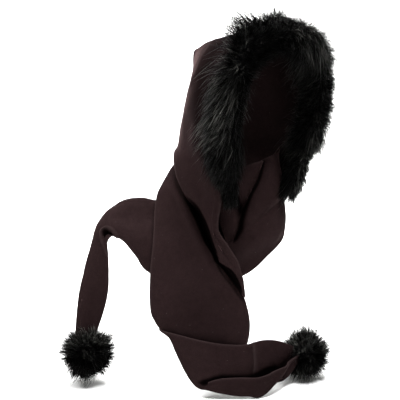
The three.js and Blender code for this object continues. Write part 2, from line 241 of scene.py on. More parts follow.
# The hood's sections, from the tip of its right lap up over the crown and down the left side.
# f is the front edge and k the back edge, roll the way the section bulges in degrees
# (90 to the right, 0 up, -90 to the left), bulge how far, and full how square the bulge is.
HOOD = [
    dict(f=(-50, -64, -418), k=(-58, -57, -406), roll=70, bulge=1, full=2),
    dict(f=(-54, -57, -385), k=(-70, -42, -382), roll=75, bulge=3, full=2),
    dict(f=(-60, -48, -350), k=(-82, -24, -360), roll=80, bulge=6, full=2),
    dict(f=(-67, -39, -316), k=(-86, -3, -326), roll=85, bulge=8, full=2),
    dict(f=(-70, -35, -288), k=(-87, 12, -296), roll=90, bulge=10, full=2),
    dict(f=(-66, -38, -262), k=(-87, 36, -264), roll=90, bulge=13, full=2),
    dict(f=(-72, -42, -238), k=(-86, 60, -243), roll=90, bulge=16, full=2),
    dict(f=(-82, -46, -210), k=(-80, 82, -220), roll=90, bulge=20, full=2),
    dict(f=(-91, -51, -180), k=(-58, 108, -198), roll=90, bulge=30, full=2),
    dict(f=(-96, -57, -148), k=(-3, 150, -188), roll=90, bulge=46, full=2.2),
    dict(f=(-98, -64, -112), k=(-2, 145, -136), roll=88, bulge=42, full=2.2),
    dict(f=(-94, -75, -70), k=(-2, 134, -94), roll=78, bulge=36, full=2.2),
    dict(f=(-78, -85, -28), k=(-2, 131, -62), roll=58, bulge=30, full=2.2),
    dict(f=(-45, -91, 4), k=(-2, 130, -42), roll=30, bulge=20, full=2.2),
    dict(f=(0, -93, 16), k=(0, 131, -32), roll=0, bulge=14, full=2.2),
    dict(f=(45, -91, 4), k=(2, 130, -42), roll=-30, bulge=20, full=2.2),
    dict(f=(78, -85, -28), k=(2, 131, -62), roll=-58, bulge=30, full=2.2),
    dict(f=(94, -75, -70), k=(2, 134, -94), roll=-78, bulge=36, full=2.2),
    dict(f=(98, -64, -112), k=(2, 145, -136), roll=-88, bulge=42, full=2.2),
    dict(f=(94, -57, -150), k=(3, 150, -188), roll=-90, bulge=44, full=2.2),
    dict(f=(84, -50, -190), k=(40, 120, -222), roll=-90, bulge=28, full=2),
    dict(f=(72, -45, -226), k=(70, 84, -246), roll=-90, bulge=20, full=2),
    dict(f=(58, -41, -256), k=(76, 50, -268), roll=-90, bulge=14, full=2),
]
CROWN_ROW = 14
SEAM_ROWS = (9, 19)
# Steps in rows that give the direction along the trim and the tails, and a share inside the trim
TRIM_STEP = 0.1
TAIL_STEP = 0.2
TRIM_INSIDE = 0.12

# The shares where the lap's front and back edges lie on its sections, by row
LAP_FRONT = (
    (0, 0.4),
    (0.5, 0.12),
    (1, 0),
    (1.9, 0),
    (2.73, 0.125),
    (3.28, 0.238),
    (3.6, 0.27),
    (4.17, 0.213),
    (5.1, 0.16),
    (7, 0),
)
LAP_BACK = ((0, 0.9), (0.53, 0.75), (1.56, 0.8), (2.17, 0.95), (2.8, 1))

# The right tail, from under the hood's lap down to its pompom. k is the edge that starts
# at the back and f the edge that starts at the front. bow is how far the cloth between them
# stands out of the chord, and sag how far it hangs below it.
RIGHT_TAIL = [
    dict(k=(-51, 98.5, -186), f=(-58, 36, -196), bow=0, sag=0),
    dict(k=(-69, 104.5, -214), f=(-57, 30, -232), bow=0, sag=0),
    dict(k=(-100, 98, -243), f=(-58, 18, -258), bow=0, sag=0),
    dict(k=(-118, 92, -269), f=(-58, 4, -288), bow=3, sag=0),
    dict(k=(-143, 67, -325), f=(-56, -18, -334), bow=6, sag=0),
    dict(k=(-163, 51, -374), f=(-52, -38, -378), bow=6, sag=0),
    dict(k=(-174, 37, -430), f=(-49, -57, -422), bow=8, sag=0),
    dict(k=(-171, 30, -450), f=(-51, -68, -460), bow=8, sag=0),
    dict(k=(-168, 24, -459), f=(-60, -66, -500), bow=6, sag=0),
    dict(k=(-166, 19, -462), f=(-74, -50, -540), bow=2, sag=0),
    dict(k=(-164, 12, -463), f=(-104, -32, -556), bow=4, sag=4),
    dict(k=(-155, 0, -466), f=(-126, -50, -543), bow=-4, sag=32),
    dict(k=(-132, -28, -474), f=(-110, -66, -535), bow=-6, sag=46),
    dict(k=(-100, -53, -482), f=(-87, -84, -533), bow=-6, sag=52),
    dict(k=(-62, -70, -487), f=(-62, -102, -533), bow=-6, sag=53),
    dict(k=(-26, -74, -486), f=(-28, -103, -529), bow=-4, sag=46),
    dict(k=(6, -76, -493), f=(6, -98, -524), bow=-3, sag=45),
    dict(k=(38, -78, -509), f=(40, -90, -520), bow=0, sag=18),
]

# Where the control points of a tail's curve lie, as shares of the way from k to f
TAIL_CURVE = (0.25, 0.8)

# The left tail, from the left of the neck across the chest and over the right shoulder.
# k is its upper edge and f its lower edge.
LEFT_TAIL = [
    dict(k=(87, 12, -190), f=(76, 48, -240), bow=3, sag=0),
    dict(k=(62, -6.5, -192), f=(62, 1, -302), bow=9, sag=0),
    dict(k=(54, -10, -194), f=(60, -26, -334), bow=8, sag=0),
    dict(k=(30, -14, -199), f=(14, -36, -360), bow=8, sag=0),
    dict(k=(-4, 6, -214), f=(-30, -28, -386), bow=8, sag=0),
    dict(k=(-46, 42, -256), f=(-92, 8, -404), bow=8, sag=0),
    dict(k=(-92, 100, -271), f=(-148, 68, -382), bow=8, sag=0),
    dict(k=(-118, 128, -268), f=(-163, 90, -353), bow=8, sag=0),
    dict(k=(-140, 146, -272), f=(-175, 106, -330), bow=10, sag=0),
    dict(k=(-158, 157, -284), f=(-188, 116, -322), bow=12, sag=0),
    dict(k=(-172, 165, -302), f=(-194, 122.5, -330), bow=14, sag=0),
    dict(k=(-180, 166, -328), f=(-192.5, 124.5, -352), bow=18, sag=0),
    dict(k=(-184, 162, -362), f=(-191, 125, -382), bow=31, sag=0),
    dict(k=(-186, 156, -400), f=(-193, 124, -412), bow=41, sag=0),
    dict(k=(-194, 153, -440), f=(-201, 125.5, -446), bow=42, sag=0),
    dict(k=(-217, 144, -498), f=(-223, 131, -501), bow=26, sag=0),
]

# Folds in the cloth. Each follows a path of places, given as row and share of the way across.
# It is raised by rise, or sunk by a negative rise, over reach either side. dark is how deep the
# painted shade along it is and shade how far that goes, with a crisper limit for a larger edge.
# pale is how strong a painted highlight along its ridge is and line how far that goes.
FOLD = dict(rise=0, reach=9, dark=0, shade=9, edge=4, pale=0, line=3)
HOOD_FOLDS = [
    dict(path=((13.2, 0.8), (11, 0.66)), rise=2.5, reach=20),
    dict(path=((9.6, 0.45), (6, 0.42)), rise=-6, reach=18),
    dict(path=((8.4, 0.78), (5.2, 0.82)), rise=5, reach=16),
    dict(
        path=((5.6, 0.1), (4.5, 0.15), (3.9, 0.19), (3.25, 0.275), (2.3, 0.25), (1, 0.2)),
        rise=2.2,
        reach=4,
    ),
    dict(
        path=((5.2, 1), (4.2, 0.95), (3.2, 0.95), (2.4, 1), (1.4, 1), (0.7, 1)),
        rise=(0, -7, -9, -8, -5, 0),
        reach=22,
    ),
    # Painted shadow of the fur trim on the hood, fading away from the trim
    dict(
        path=((7.4, 0.12), (8.8, 0.2), (10, 0.3), (11.5, 0.42), (13, 0.5), (14.5, 0.45), (18.5, 0.26)),
        dark=(0.15, 0.45, 0.75, 0.85, 0.85, 0.7, 0.5),
        shade=(20, 24, 28, 32, 34, 30, 26),
        edge=2,
    ),
    # Painted highlight along a ridge of the hood
    dict(
        path=((13.3, 0.68), (12.48, 0.6), (11.62, 0.56), (11.2, 0.6)),
        rise=1.2,
        reach=5,
        pale=(0.1, 0.3, 0.3, 0.1),
    ),
]
RIGHT_TAIL_FOLDS = [
    dict(path=((3, 0.3), (6, 0.55)), rise=3, reach=30),
    # Painted shade over the middle of the tail
    dict(path=((4.5, 0.5), (6.5, 0.5), (8.6, 0.45)), dark=(0.14, 0.3, 0.24), shade=48, edge=2),
    dict(
        path=(
            (1.2, 0.3),
            (1.98, 0.45),
            (2.38, 0.53),
            (3.25, 0.66),
            (3.88, 0.76),
            (4.8, 0.83),
            (5.35, 0.92),
            (5.9, 1),
        ),
        rise=(-10, -18, -22, -22, -22, -19, -8, -1),
        reach=9,
    ),
    dict(
        path=(
            (1.2, 0.1),
            (1.98, 0.26),
            (2.38, 0.35),
            (3.25, 0.48),
            (3.88, 0.58),
            (4.8, 0.65),
            (5.35, 0.74),
            (5.9, 0.84),
        ),
        rise=(3, 7, 9, 10, 9, 8, 5, 1),
        reach=12,
    ),
    # Painted highlight along a crease near the tail's end
    dict(
        path=((14.47, 0), (14.42, 0.1), (14.39, 0.16), (14.22, 0.27)),
        rise=3,
        reach=3,
        pale=0.75,
        line=2.4,
    ),
    dict(path=((14.1, 0.6), (14.5, 0.75), (15.1, 0.88), (15.65, 1)), rise=5, reach=8),
    dict(path=((14.9, 0.55), (15.6, 0.75), (16.3, 0.9)), rise=-4, reach=10),
    dict(path=((11.5, 1), (12.5, 1), (14, 1), (16, 1)), rise=(0, 3, 3, 1), reach=14),
    dict(path=((11.5, 0.5), (11.9, 0.41), (12.4, 0.33)), rise=(-5, -4, -1), reach=9),
]
# Bands of painted shade in the cloth, between a low and a high share at each row
BAND_SOFT = 0.035
LAP_BANDS = [
    # Painted shade on the lap's back part, over the gap beneath it
    dict(
        rows=(0.1, 0.4, 0.72, 1.56, 2.1, 2.6, 3.6, 4.2, 4.7, 5.1, 5.6, 6.3),
        low=(0.7, 0.45, 0.345, 0.462, 0.8, 0.56, 0.43, 0.504, 0.613, 0.7, 0.8, 0.9),
        high=(2,) * 12,
        depth=(0, 0.9, 1, 1, 1, 1, 1, 1, 1, 0.9, 0.5, 0),
    ),
]
RIGHT_TAIL_BANDS = [
    # Painted shade in the gap under the hood's lap
    dict(
        rows=(1.9, 2.42, 2.75, 3.06, 3.33, 3.64, 4, 4.28, 4.61, 4.92, 5.5, 5.81, 6.1),
        low=(0.36, 0.42, 0.479, 0.529, 0.58, 0.622, 0.647, 0.706, 0.723, 0.84, 0.933, 0.96, 0.97),
        high=(2,) * 13,
        depth=(0.4, 0.8, 1, 1, 1, 1, 1, 1, 1, 1, 1, 1, 0),
    ),
    # Painted shade inside the trough at the tail's end, behind its front wall
    dict(
        rows=(11.4, 11.69, 11.83, 12.17, 12.5, 12.83, 13.58, 14.67, 15.5, 16.11, 16.6, 16.8),
        low=(0.46, 0.429, 0.39, 0.336, 0.286, 0.252, 0.244, 0.252, 0.244, 0.218, 0.143, 0.12),
        high=(0.49, 0.5, 0.48, 0.41, 0.37, 0.4, 0.4, 0.4, 0.4, 0.4, 0.3, 0.3),
        depth=(0, 1, 1, 1, 1, 1, 1, 1, 1, 0.9, 0.6, 0),
    ),
]
LEFT_TAIL_BANDS = [
    # Painted shade over part of the tail
    dict(rows=(4.62, 4.8, 5.4, 5.7), low=(0,) * 4, high=(0.7,) * 4, depth=(0, 1, 1, 0)),
]
LEFT_TAIL_FOLDS = [
    dict(path=((2.9, 0), (3.6, 0.22), (4, 0.37), (4.23, 0.58)), rise=-10, reach=11),
    dict(
        path=((2.95, 0), (3.3, 0.125), (3.65, 0.25), (4, 0.37), (4.1, 0.513), (4.23, 0.588)),
        rise=-10,
        reach=3.4,
    ),
    dict(path=((4.4, 0.12), (4.2, 0.238), (4.0, 0.36)), rise=-7, reach=4),
    # Painted shade along the deep crease under the chin
    dict(
        path=(
            (2.89, 0.042),
            (3.08, 0.109),
            (3.25, 0.185),
            (3.42, 0.244),
            (3.61, 0.294),
            (3.81, 0.361),
            (3.94, 0.403),
        ),
        dark=(0.8, 0.9, 1, 1, 1, 1, 1),
        shade=(1.8, 1.8, 1.9, 2.1, 2.4, 3, 4.2),
    ),
    # Painted shade along that crease's lower end
    dict(
        path=((3.94, 0.403), (4.03, 0.462), (4.06, 0.538), (4.14, 0.58), (4.19, 0.613)),
        dark=1,
        shade=(4.4, 4.3, 3.9, 3, 2),
    ),
    # Painted shade along a second crease that joins it
    dict(
        path=((4.26, 0.2), (4.22, 0.244), (4.17, 0.311), (4.04, 0.4)),
        dark=(0.6, 1, 1, 1),
        shade=(3, 3.6, 4, 5),
    ),
    dict(
        path=((0.9, 0.6), (1.5, 0.53), (2, 0.46), (2.43, 0.4), (3.55, 0.45), (3.98, 0.46)),
        rise=(-2, -3, -2, 3, 6, 6),
        reach=12,
    ),
    dict(path=((4.25, 0.6), (3.73, 0.663)), rise=-2.5, reach=3.5),
    dict(
        path=((3.97, 0.58), (3.56, 0.546), (2.97, 0.513), (2.4, 0.5)),
        rise=(-1, -3.5, -4.5, -2),
        reach=4.5,
    ),
    # Painted highlight along a ridge
    dict(path=((4.11, 0.773), (3.42, 0.765), (2.61, 0.815)), rise=(1, 3, 3), reach=8, pale=0.16, line=9),
    dict(path=((6.4, 0.3), (8.4, 0.5)), rise=-4, reach=22),
    dict(
        path=(
            (5.45, 0),
            (5.36, 0.06),
            (5.24, 0.18),
            (5.06, 0.34),
            (4.87, 0.49),
            (4.73, 0.61),
            (4.57, 0.76),
            (4.45, 0.88),
        ),
        rise=(-3, -5, -7.5, -9.5, -10, -8.5, -6, -2),
        reach=13,
    ),
    # Painted highlight along the curled rim at the shoulder
    dict(
        path=(
            (8.6, 0.96),
            (8.83, 0.875),
            (9.12, 0.775),
            (9.45, 0.713),
            (9.8, 0.688),
            (10.08, 0.775),
            (10.4, 0.888),
            (11.2, 1),
        ),
        rise=2.5,
        reach=4,
        pale=0.4,
        line=2.6,
    ),
    dict(path=((9.15, 0.96), (9.5, 0.85), (9.9, 0.85)), rise=-8, reach=7),
    # Painted shade in the hole inside the curl
    dict(path=((9.0, 0.93), (9.35, 0.86), (9.62, 0.79), (9.82, 0.83)), dark=1, shade=(6, 11, 12, 8)),
]


def unit(vectors):
    return vectors / np.maximum(np.linalg.norm(vectors, axis=-1, keepdims=True), 1e-9)


def hump(values, centre, spread, power=2):
    """1 where the values are at the centre, and fading to 0 beyond the spread."""
    return np.exp(-(((values - centre) / spread) ** power))


def waves(points, size, shift=(0, 0, 0)):
    """Slow waves in space, between -1 and 1, at each point."""
    return np.array([noise.noise(Vector(point) / size + Vector(shift)) for point in points])


def column(rows, name, places):
    """One column of a table at places counted in rows, as a smooth curve through its values."""
    values = np.array([row[name] for row in rows], float)
    last = len(rows) - 1
    places = np.clip(places, 0, last)
    first = np.minimum(places.astype(int), last - 1)
    a, b, c, d = (values[np.clip(first + step, 0, last)] for step in (-1, 0, 1, 2))
    t = places - first
    if values.ndim > 1:
        t = t[..., None]
    bend = (2 * a - 5 * b + 4 * c - d) * t**2 + (3 * b - 3 * c + d - a) * t**3
    return b + 0.5 * ((c - a) * t + bend)


def hood_points(places, shares):
    """Points of the hood: on the chord from front to back edge, pushed out by the bulge."""
    front = column(HOOD, "f", places)
    back = column(HOOD, "k", places)
    roll = np.radians(column(HOOD, "roll", places))
    rise = 1 - np.abs(2 * shares - 1) ** column(HOOD, "full", places)
    out = np.stack([-np.sin(roll), 0 * roll, np.cos(roll)], -1)
    bulge = column(HOOD, "bulge", places) * rise
    return front + (back - front) * shares[..., None] + out * bulge[..., None]


def lap_points(places, shares):
    """Points of the hood with the lap's edges cut to shape."""
    front, back = (np.interp(places, *zip(*edge)) for edge in (LAP_FRONT, LAP_BACK))
    return hood_points(places, front + (back - front) * shares)


def tail_points(rows, places, shares):
    """Points of a tail: cubic curves from its first edge to its second."""

    def middle(at):
        return (column(rows, "k", at) + column(rows, "f", at)) / 2

    start = column(rows, "k", places)
    end = column(rows, "f", places)
    chord = end - start
    out = unit(np.cross(middle(places + TAIL_STEP) - middle(places - TAIL_STEP), chord))
    # A cubic curve goes three quarters of the way to its two middle points
    bow = column(rows, "bow", places)[..., None] * 4 / 3
    drop = column(rows, "sag", places)[..., None] * 4 / 3 * np.array((0, 0, 1))
    near = start + chord * TAIL_CURVE[0] + out * bow - drop
    far = start + chord * TAIL_CURVE[1] + out * bow - drop
    t = shares[..., None]
    return (1 - t) ** 3 * start + 3 * t * (1 - t) ** 2 * near + 3 * t**2 * (1 - t) * far + t**3 * end


def right_tail_points(places, shares):
    return tail_points(RIGHT_TAIL, places, shares)


def left_tail_points(places, shares):
    return tail_points(LEFT_TAIL, places, shares)


def path_offset(path, columns, here):
    """Distance of each place from a path, and each column's value at the path's nearest point."""
    off = np.full(here.shape[:-1], np.inf)
    found = [np.zeros(off.shape) for _ in columns]
    for i, (start, end) in enumerate(zip(path, path[1:])):
        way = end - start
        share = np.clip((here - start) @ way / (way @ way), 0, 1)
        gap = np.linalg.norm(here - start - share[..., None] * way, axis=-1)
        found = [
            np.where(gap < off, column[i] + (column[i + 1] - column[i]) * share, value)
            for column, value in zip(columns, found)
        ]
        off = np.minimum(off, gap)
    return off, found


def fold_lift(folds, places, shares):
    """How far the folds lift the cloth, and the painted shade and painted highlight they lay on it.

    Each value of a fold is one number, or one for each point of its path.
    """
    scale = (ROW_LENGTH, CLOTH_WIDTH)
    here = np.stack([places, shares], -1) * scale
    lift, dark, pale = (np.zeros(places.shape) for _ in range(3))
    for fold in folds:
        path = np.array(fold["path"], float) * scale
        names = ("rise", "reach", "dark", "shade", "pale", "line")
        columns = [np.broadcast_to(fold.get(name, FOLD[name]), len(path)) for name in names]
        off, (rise, reach, depth, shade, ridge_highlight, line) = path_offset(path, columns, here)
        lift += rise * hump(off, 0, reach)
        dark = np.maximum(dark, depth * hump(off, 0, shade, fold.get("edge", FOLD["edge"])))
        pale = np.maximum(pale, ridge_highlight * hump(off, 0, line))
    return lift, dark, pale


def band_shade(bands, places, shares):
    """How much painted shade the bands lay on the cloth."""
    dark = np.zeros(places.shape)
    for band in bands:
        low, high, depth = (
            np.interp(places, band["rows"], band[name]) for name in ("low", "high", "depth")
        )
        above_low = np.clip((shares - low) / BAND_SOFT + 0.5, 0, 1)
        below_high = np.clip((high - shares) / BAND_SOFT + 0.5, 0, 1)
        dark = np.maximum(dark, depth * (above_low * below_high))
    return dark


def pleat_lift(places, shares, from_place, to_place, count, height):
    """How far small pleats lift a tail that is drawn into its pompom."""
    share = np.clip((places - from_place) / (to_place - from_place), 0, 1)
    return height * share**1.5 * np.cos(2 * math.pi * count * shares)


def normals_of(grid):
    down = np.gradient(grid, axis=0)
    over = np.gradient(grid, axis=1)
    return unit(np.cross(down, over))


def spaced(steps, length, count):
    """Shares of a length, from 0 to 1, that lie close together near both ends."""
    edge = np.array(steps) * min(1, EDGE_SHARE * length / steps[-1])
    middle = np.linspace(edge[-1], length - edge[-1], count + 2)[1:-1]
    return np.concatenate([edge, middle, (length - edge)[::-1]]) / length


def cloth_grid(points, rows, folds, bands, steps, pleats=None):
    """The cloth's middle surface as a grid of points, with its painted shade and painted highlight at each.
    """
    along, across = steps
    last = len(rows) - 1
    places = spaced(EDGE_STEPS, last * ROW_LENGTH, along) * last
    ends = points(np.stack([places, places], 1), np.tile([0.0, 1.0], (len(places), 1)))
    widths = np.linalg.norm(ends[:, 0] - ends[:, 1], axis=1) * CURVE_LENGTH
    shares = np.stack([spaced(EDGE_STEPS, max(width, LEAST_WIDTH), across) for width in widths])
    places = np.repeat(places[:, None], shares.shape[1], 1)
    grid = points(places, shares)
    lift, dark, pale = fold_lift(folds, places, shares)
    dark = np.maximum(dark, band_shade(bands, places, shares))
    if pleats:
        lift += pleat_lift(places, shares, **pleats)
    grid = grid + normals_of(grid) * lift[..., None]
    for size, height in ROLLING:
        roll = waves(grid.reshape(-1, 3), size).reshape(places.shape)
        grid = grid + normals_of(grid) * height * roll[..., None]
    return grid, dark, pale


def edge_distance(grid, axis):
    """How far each point lies from the nearer end of its row or column."""
    steps = np.linalg.norm(np.diff(grid, axis=axis), axis=-1)
    run = np.insert(np.cumsum(steps, axis=axis), 0, 0, axis=axis)
    total = run.take([-1], axis=axis)
    return np.minimum(run, total - run)


def new_object(name, points, faces, material):
    mesh = bpy.data.meshes.new(name)
    mesh.from_pydata((np.asarray(points) * METRE).tolist(), [], faces)
    mesh.polygons.foreach_set("use_smooth", [True] * len(mesh.polygons))
    mesh.materials.append(material)
    piece = bpy.data.objects.new(name, mesh)
    bpy.context.scene.collection.objects.link(piece)
    return piece


def paint(piece, word, values):
    """Gives each point of a piece a value that its material reads by the word."""
    attribute = piece.data.attributes.new(word, "FLOAT", "POINT")
    attribute.data.foreach_set("value", values.astype(np.float32))


def weld(piece):
    shape = bmesh.new()
    shape.from_mesh(piece.data)
    bmesh.ops.remove_doubles(shape, verts=shape.verts, dist=WELD * METRE)
    bmesh.ops.recalc_face_normals(shape, faces=shape.faces)
    shape.to_mesh(piece.data)
    shape.free()


def grid_faces(rows, columns, first, flip):
    index = first + np.arange(rows * columns).reshape(rows, columns)
    quads = np.stack([index[:-1, :-1], index[1:, :-1], index[1:, 1:], index[:-1, 1:]], -1).reshape(-1, 4)
    return (quads[:, ::-1] if flip else quads).tolist()


def cloth(name, grid, painted_shade, pale, material, inner_shade=1):
    """A closed sheet of fleece round the grid, with rounded edges, a thicker hemmed border and sunk
    stitches.

    The second array is its painted shade, the third the painted highlight on its fold ridges, and
    inner_shade how much of the shade its inner face takes.
    """
    edge = np.minimum(edge_distance(grid, 0), edge_distance(grid, 1))
    half = THICKNESS / 2 + HEM_RISE * (1 / (1 + np.exp((edge - HEM_WIDTH) * HEM_STEEPNESS)))
    half = half - STITCH_SINK * hump(edge, HEM_WIDTH, STITCH_REACH)
    half = half * np.sqrt(1 - (1 - np.minimum(edge / EDGE_ROUND, 1)) ** 2)
    offset = normals_of(grid) * half[..., None]
    points = np.concatenate([(grid + offset).reshape(-1, 3), (grid - offset).reshape(-1, 3)])
    rows, columns = edge.shape
    faces = grid_faces(rows, columns, 0, False) + grid_faces(rows, columns, rows * columns, True)
    piece = new_object(name, points, faces, material)
    # Painted highlight along the edges, and along the fold ridges that are set pale
    painted_highlight = np.maximum(EDGE_HIGHLIGHT * hump(edge, 0, EDGE_HIGHLIGHT_REACH), pale)
    for word, outer, inner in (("painted_highlight", painted_highlight, painted_highlight), ("painted_shade", painted_shade, painted_shade * inner_shade)):
        paint(piece, word, np.concatenate([outer.ravel(), inner.ravel()]))
    weld(piece)
    return piece


def tube(points, radius, sides):
    """Points and faces of a closed round tube along a line of points."""
    points = np.asarray(points, float)
    way = unit(np.gradient(points, axis=0))
    side = unit(np.cross(way, (0.1, 0.2, 1.0)))
    up = np.cross(side, way)
    angles = np.linspace(0, 2 * math.pi, sides, endpoint=False)
    ring = side[:, None] * np.cos(angles)[None, :, None] + up[:, None] * np.sin(angles)[None, :, None]
    body = points[:, None] + ring * radius
    index = np.arange(len(points) * sides).reshape(-1, sides)
    following = np.roll(index, -1, 1)
    quads = np.stack([index[:-1], following[:-1], following[1:], index[1:]], -1).reshape(-1, 4).tolist()
    return body.reshape(-1, 3), quads + [index[0].tolist(), index[-1][::-1].tolist()]


def trim_frame(places):
    """The hood's front edge at places, and the ways along it, out of the cloth and to the front."""
    edge = column(HOOD, "f", places)
    along = unit(column(HOOD, "f", places + TRIM_STEP) - column(HOOD, "f", places - TRIM_STEP))
    inward = hood_points(places, np.full(places.shape, TRIM_INSIDE)) - edge
    out = unit(np.cross(along, inward))
    front = unit(-np.cross(out, along))
    return edge, along, out, front


def trim_sizes(places, angles):
    """How far the trim goes to the front and to either side of the cloth, at places and angles."""
    rows = [size["row"] for size in TRIM_SIZES]
    out, front, inside = (
        np.interp(places, rows, [size[way] for size in TRIM_SIZES]) for way in ("out", "front", "inside")
    )
    return front, np.where(np.cos(angles) > 0, out, inside)


def trim_points(places, angles):
    """Points and normals of the trim's roll, at angles from outside the cloth to the front."""
    edge, _, out, front = trim_frame(places)
    ahead, aside = trim_sizes(places, angles)
    deep, thick = (TRIM["deep"] * ahead)[..., None], (TRIM["thick"] * aside)[..., None]
    back = (TRIM["back"] * ahead)[..., None]
    sin, cos = np.sin(angles)[..., None], np.cos(angles)[..., None]
    points = edge + front * (deep * sin - back) + out * thick * cos
    return points, unit(front * sin / deep + out * cos / thick)


def strands(name, roots, lifts, flows, lengths, lights, locks, material, rng):
    """Many tapered, curved, closed strands of fur as one mesh, drawn together in tufts."""
    count = len(roots)
    heads = rng.choice(count, max(1, count // locks["tuft"]), replace=False)
    tree = kdtree.KDTree(len(heads))
    for i, head in enumerate(heads):
        tree.insert(roots[head], i)
    tree.balance()
    own = np.array([tree.find(root)[1] for root in roots])
    lead = heads[own]
    uneven = 1 + TUFT_SPREAD * (rng.random(len(heads)) - 0.5)
    reach = (lengths * uneven[own])[:, None]
    tips = roots + (lifts * TIP_LEAN + flows) * reach
    lead_tips = tips[lead] + rng.normal(0, TIP_STRAY, (count, 3)) * reach
    gather = locks["gather"] * (GATHER_LEAST + (1 - GATHER_LEAST) * rng.random(count))
    pull = (lead_tips - tips) * gather[:, None]
    guard = rng.random(count) < GUARD_HAIR["share"]
    pull[guard] *= GUARD_HAIR["gather"]
    reach = reach * np.where(guard, GUARD_HAIR["longer"], 1)[:, None]
    curl = rng.normal(0, CURL, (count, 3)) * reach
    steps = (0.0, 0.5, 1.0)
    line = np.stack(
        [
            roots
            + lifts * reach * (t - BEND * t * t)
            + flows * reach * t**FLOW_POWER
            + pull * t**PULL_POWER
            + curl * math.sin(math.pi * t)
            for t in steps
        ],
        1,
    )
    line[..., 2] = np.clip(line[..., 2], FLOOR_HEIGHT + FLOOR_CLEARANCE, FUR_TOP)
    way = unit(np.gradient(line, axis=1))
    side = unit(np.cross(way, rng.normal(size=(count, 1, 3))))
    up = np.cross(way, side)
    width = locks["width"] * (WIDTHS[0] + WIDTHS[1] * rng.random(count))
    thickness = (width * np.where(guard, GUARD_HAIR["thicker"], 1))[:, None] / 2
    rings = []
    for step, share in enumerate(STRAND_TAPER):
        for turn in (0, 2 * math.pi / 3, 4 * math.pi / 3):
            round_way = side[:, step] * math.cos(turn) + up[:, step] * math.sin(turn)
            rings.append(line[:, step] + round_way * thickness * share)
    points = np.stack(rings + [line[:, 2]], 1)
    base = np.arange(count)[:, None] * 7
    quads = np.concatenate([base + (a, b, b + 3, a + 3) for a, b in ((0, 1), (1, 2), (2, 0))])
    tris = np.concatenate([base + (a, b, 6) for a, b in ((3, 4), (4, 5), (5, 3))] + [base + (2, 1, 0)])
    piece = new_object(name, points.reshape(-1, 3), quads.tolist() + tris.tolist(), material)
    # Strand tone: random lighter tufts, strands and guard hairs, partly the hair's own colour and partly
    # painted glints, times the painted light
    shade = TUFT_TONE * rng.random(len(heads))[own] ** 3 + STRAND_TONE * rng.random(count) ** 5
    shade += np.where(guard, GUARD_HAIR["tone"] * rng.random(count) ** 2, 0)
    shade *= lights
    # Lighter towards the tip, as painted glints
    along = np.repeat(TONE_ALONG, (3, 3, 1))
    paint(piece, "tone", (shade[:, None] * along[None]).ravel())
    return piece


def trim_light(places, degrees):
    """Painted light and shade on the trim's strands: most outside and on the left rim, least inside and at
    the crest.
    """
    outside = OUTSIDE_LIGHT["more"] * hump(degrees, OUTSIDE_LIGHT["angle"], OUTSIDE_LIGHT["spread"])
    lights = OUTSIDE_LIGHT["least"] + outside * np.interp(places, *OUTSIDE_LIGHT_ROWS)
    inside = np.where(places > LEFT_SIDE_ROW, INSIDE_LIGHT["left"], INSIDE_LIGHT["right"])
    lights = np.where(degrees > INSIDE_LIGHT["angle"], inside, lights)
    lights *= 1 - CREST_SHADE["depth"] * hump(places, CREST_SHADE["row"], CREST_SHADE["spread"])
    rim = hump(degrees, RIM_LIGHT["angle"], RIM_LIGHT["spread"]) * np.interp(places, *RIM_LIGHT_ROWS)
    return np.maximum(lights, rim)


def trim_flows(places, angles, sway, drift, crest, rng):
    """The way the trim's strands sweep: back over the hood outside and in to the face inside."""
    _, along, out, front = trim_frame(places)
    round_way = front * np.cos(angles)[:, None] - out * np.sin(angles)[:, None]
    turn = np.degrees(angles) - TRIM_SWEEP["angle"] - TRIM_SWEEP["sway"] * sway
    sweep = np.tanh(turn / TRIM_SWEEP["spread"])
    flows = round_way * (TRIM_HAIR["flow"] * sweep * (1 - TRIM_SWEEP["calm"] * crest))[:, None]
    aside = TRIM_HAIR["drift"] * drift + rng.normal(0, TRIM_HAIR["stray"], len(places))
    flows += along * aside[:, None]
    flows[:, 2] -= SAG - SAG * crest + np.where(places < RIGHT_SIDE_ROW, RIGHT_SIDE_SAG, 0)
    from_start = np.clip(1 - (places - TRIM["start"]) / TRIM_ENDS, 0, 1)
    to_stop = np.clip(1 - (TRIM["stop"] - places) / TRIM_ENDS, 0, 1)
    return flows - along * (TRIM_HAIR["ending"] * (from_start - to_stop))[:, None]


def trim_fur(name, start, stop, seed, material):
    """The strands on one length of the trim."""
    rng = np.random.default_rng(seed)
    places = rng.uniform(start, stop, TRIM_STRANDS)
    angles = np.radians(rng.uniform(*TRIM_ANGLES, TRIM_STRANDS))
    points, normals = trim_points(places, angles)
    ahead, aside = trim_sizes(places, angles)
    size = np.hypot(ahead * np.sin(angles), aside * np.cos(angles))
    crest = hump(places, CREST_ROW, CREST_SPREAD)
    sway = waves(points, **SWAY)
    drift = waves(points, **DRIFT)
    flows = trim_flows(places, angles, sway, drift, crest, rng)
    lights = trim_light(places, np.degrees(angles))
    lifts = unit(normals + rng.normal(0, TRIM_HAIR["tilt"], normals.shape)) * TRIM_HAIR["lift"]
    lengths = TRIM_HAIR["length"] * size * rng.uniform(*TRIM_HAIR["spread"], len(places))
    lengths *= 1 + TRIM_HAIR["uneven"] * drift
    lengths *= np.where(places > LEFT_SIDE_ROW, LEFT_SIDE_LONGER, 1)
    lengths = np.minimum(lengths, TRIM_HAIR["longest"])
    return strands(name, points, lifts, flows, lengths, lights, TRIM_LOCKS, material, rng)


